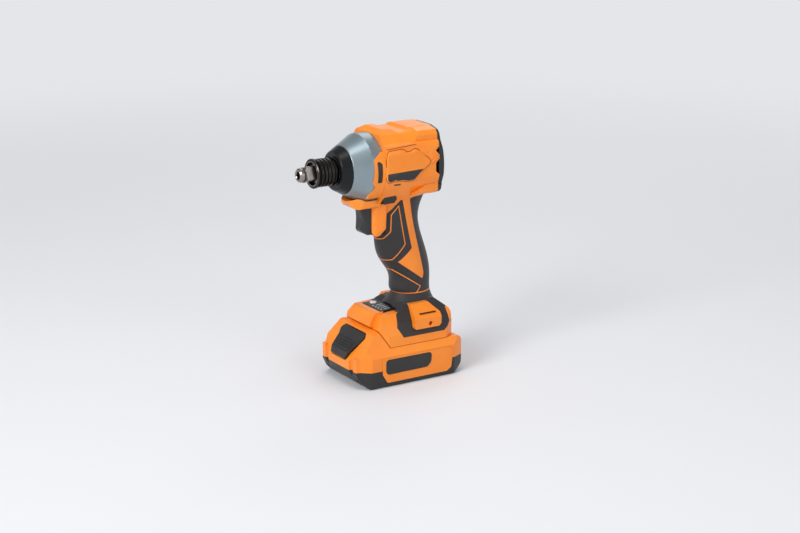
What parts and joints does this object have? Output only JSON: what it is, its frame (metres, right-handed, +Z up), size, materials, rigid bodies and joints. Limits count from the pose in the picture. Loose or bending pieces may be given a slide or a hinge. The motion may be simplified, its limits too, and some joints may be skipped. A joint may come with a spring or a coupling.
{
  "type": "cordless_impact_driver",
  "caption": "Cordless impact driver with a square drive and hex socket, soft grip handle, variable trigger, direction lever and slide-on battery pack",
  "frame": {"origin": "middle of the flat face that the battery pack stands on", "axes": "+X along the spindle towards the bit, +Y to the tool's left, +Z up"},
  "size_m": [0.1535, 0.0766, 0.2328],
  "materials": {
    "orange_plastic": "fine-grained moulded glass-filled nylon, satin",
    "grip_rubber": "soft overmoulded elastomer, matt",
    "black_plastic": "moulded glass-filled nylon, satin",
    "dark_nylon": "plain moulded nylon",
    "cast_case_metal": "die-cast gear case with a grey satin coat",
    "blackened_steel": "black oxide steel",
    "drive_steel": "hardened and ground steel",
    "spring_steel": "drawn spring wire",
    "bearing_bronze": "sintered bronze",
    "core_laminations": "stacked electrical steel",
    "winding_copper": "enamelled copper wire and copper contacts",
    "circuit_board": "potted circuit board",
    "panel_gloss": "glossy black membrane panel",
    "button_white": "pale moulded button",
    "lamp_lens": "clear moulded lens",
    "cell_sleeve": "shrink sleeve on steel cells"
  },
  "bodies": {
    "housing": {"housing_left": "orange_plastic", "housing_right": "orange_plastic", "grip_left": "grip_rubber", "grip_right": "grip_rubber", "boot_left": "grip_rubber", "boot_right": "grip_rubber", "gear_case": "cast_case_metal", "nose_bumper": "grip_rubber", "nose_inserts": "black_plastic", "rear_cap": "black_plastic", "rear_cap_screws": "blackened_steel", "housing_screws": "blackened_steel", "stator_core": "core_laminations", "stator_windings": "winding_copper", "motor_bearings": "drive_steel", "gear_plate": "drive_steel", "ring_gear": "drive_steel", "spindle_bearing": "drive_steel", "anvil_bush": "bearing_bronze", "switch_module": "dark_nylon", "control_board": "circuit_board", "terminal_block": "dark_nylon", "terminal_blades": "winding_copper", "control_panel": "panel_gloss", "hook_block_left": "orange_plastic", "hook_block_right": "orange_plastic", "work_lamp": "lamp_lens", "trigger_spring": "spring_steel"},
    "trigger": {"trigger": "black_plastic"},
    "direction_lever": {"direction_lever": "black_plastic"},
    "panel_button": {"panel_button": "button_white"},
    "rotor": {"rotor_shaft": "drive_steel", "rotor_core": "core_laminations", "cooling_fan": "dark_nylon", "pinion": "drive_steel"},
    "planet_1": {"planet_gear_1": "drive_steel"},
    "planet_2": {"planet_gear_2": "drive_steel"},
    "planet_3": {"planet_gear_3": "drive_steel"},
    "spindle": {"spindle": "drive_steel", "planet_pins": "drive_steel", "cam_balls": "drive_steel", "hammer": "blackened_steel", "hammer_spring": "spring_steel"},
    "anvil": {"anvil": "drive_steel", "friction_ring": "grip_rubber", "detent_balls": "drive_steel", "sleeve_stop": "drive_steel"},
    "sleeve": {"chuck_sleeve": "blackened_steel", "sleeve_spring": "spring_steel"},
    "battery": {"battery_lower_shell": "black_plastic", "battery_upper_shell": "orange_plastic", "battery_side_plates": "orange_plastic", "battery_cells": "cell_sleeve", "cell_holder": "dark_nylon", "battery_board": "circuit_board", "battery_contacts": "winding_copper", "battery_screws": "blackened_steel", "latch_spring": "spring_steel"},
    "release_button": {"release_button": "black_plastic"}
  },
  "joints": [
    {"name": "trigger_slide", "type": "slide", "parent": "housing", "child": "trigger", "axis": [-1, 0, 0], "range_m": [0, 0.0065], "stiffness_N_per_m": 800, "springref_m": -0.002, "deforming": ["trigger_spring"]},
    {"name": "direction_slide", "type": "slide", "parent": "housing", "child": "direction_lever", "axis": [0, 1, 0], "range_m": [-0.0025, 0.0025]},
    {"name": "panel_button_press", "type": "slide", "parent": "housing", "child": "panel_button", "axis": [0, 0, -1], "range_m": [0, 0.0008], "stiffness_N_per_m": 500, "springref_m": -0.001},
    {"name": "spindle_turn", "type": "hinge", "parent": "housing", "child": "spindle", "pos_m": [0.02, 0, 0.1975], "axis": [1, 0, 0], "continuous": true},
    {"name": "rotor_turn", "type": "hinge", "parent": "housing", "child": "rotor", "pos_m": [-0.015, 0, 0.1975], "axis": [1, 0, 0], "continuous": true},
    {"name": "anvil_turn", "type": "hinge", "parent": "housing", "child": "anvil", "pos_m": [0.055, 0, 0.1975], "axis": [1, 0, 0], "continuous": true},
    {"name": "sleeve_slide", "type": "slide", "parent": "anvil", "child": "sleeve", "axis": [1, 0, 0], "range_m": [0, 0.003], "stiffness_N_per_m": 1200, "springref_m": -0.002, "deforming": ["sleeve_spring"]},
    {"name": "battery_slide", "type": "slide", "parent": "housing", "child": "battery", "axis": [1, 0, 0], "range_m": [0, 0.08]},
    {"name": "release_press", "type": "slide", "parent": "battery", "child": "release_button", "axis": [-0.9561, 0, -0.293], "range_m": [0, 0.003], "stiffness_N_per_m": 1500, "springref_m": -0.002, "deforming": ["latch_spring"]},
    {"name": "planet_1_turn", "type": "hinge", "parent": "spindle", "child": "planet_1", "pos_m": [0.0055, 0.012, 0.1975], "axis": [1, 0, 0], "continuous": true},
    {"name": "planet_2_turn", "type": "hinge", "parent": "spindle", "child": "planet_2", "pos_m": [0.0055, -0.006, 0.20789], "axis": [1, 0, 0], "continuous": true},
    {"name": "planet_3_turn", "type": "hinge", "parent": "spindle", "child": "planet_3", "pos_m": [0.0055, -0.006, 0.18711], "axis": [1, 0, 0], "continuous": true}
  ],
  "couplings": [
    {"joint": "rotor_turn", "follows": "spindle_turn", "ratio": 5},
    {"joint": "anvil_turn", "follows": "spindle_turn", "ratio": 1},
    {"joint": "planet_1_turn", "follows": "spindle_turn", "ratio": -2.6667},
    {"joint": "planet_2_turn", "follows": "spindle_turn", "ratio": -2.6667},
    {"joint": "planet_3_turn", "follows": "spindle_turn", "ratio": -2.6667}
  ]
}
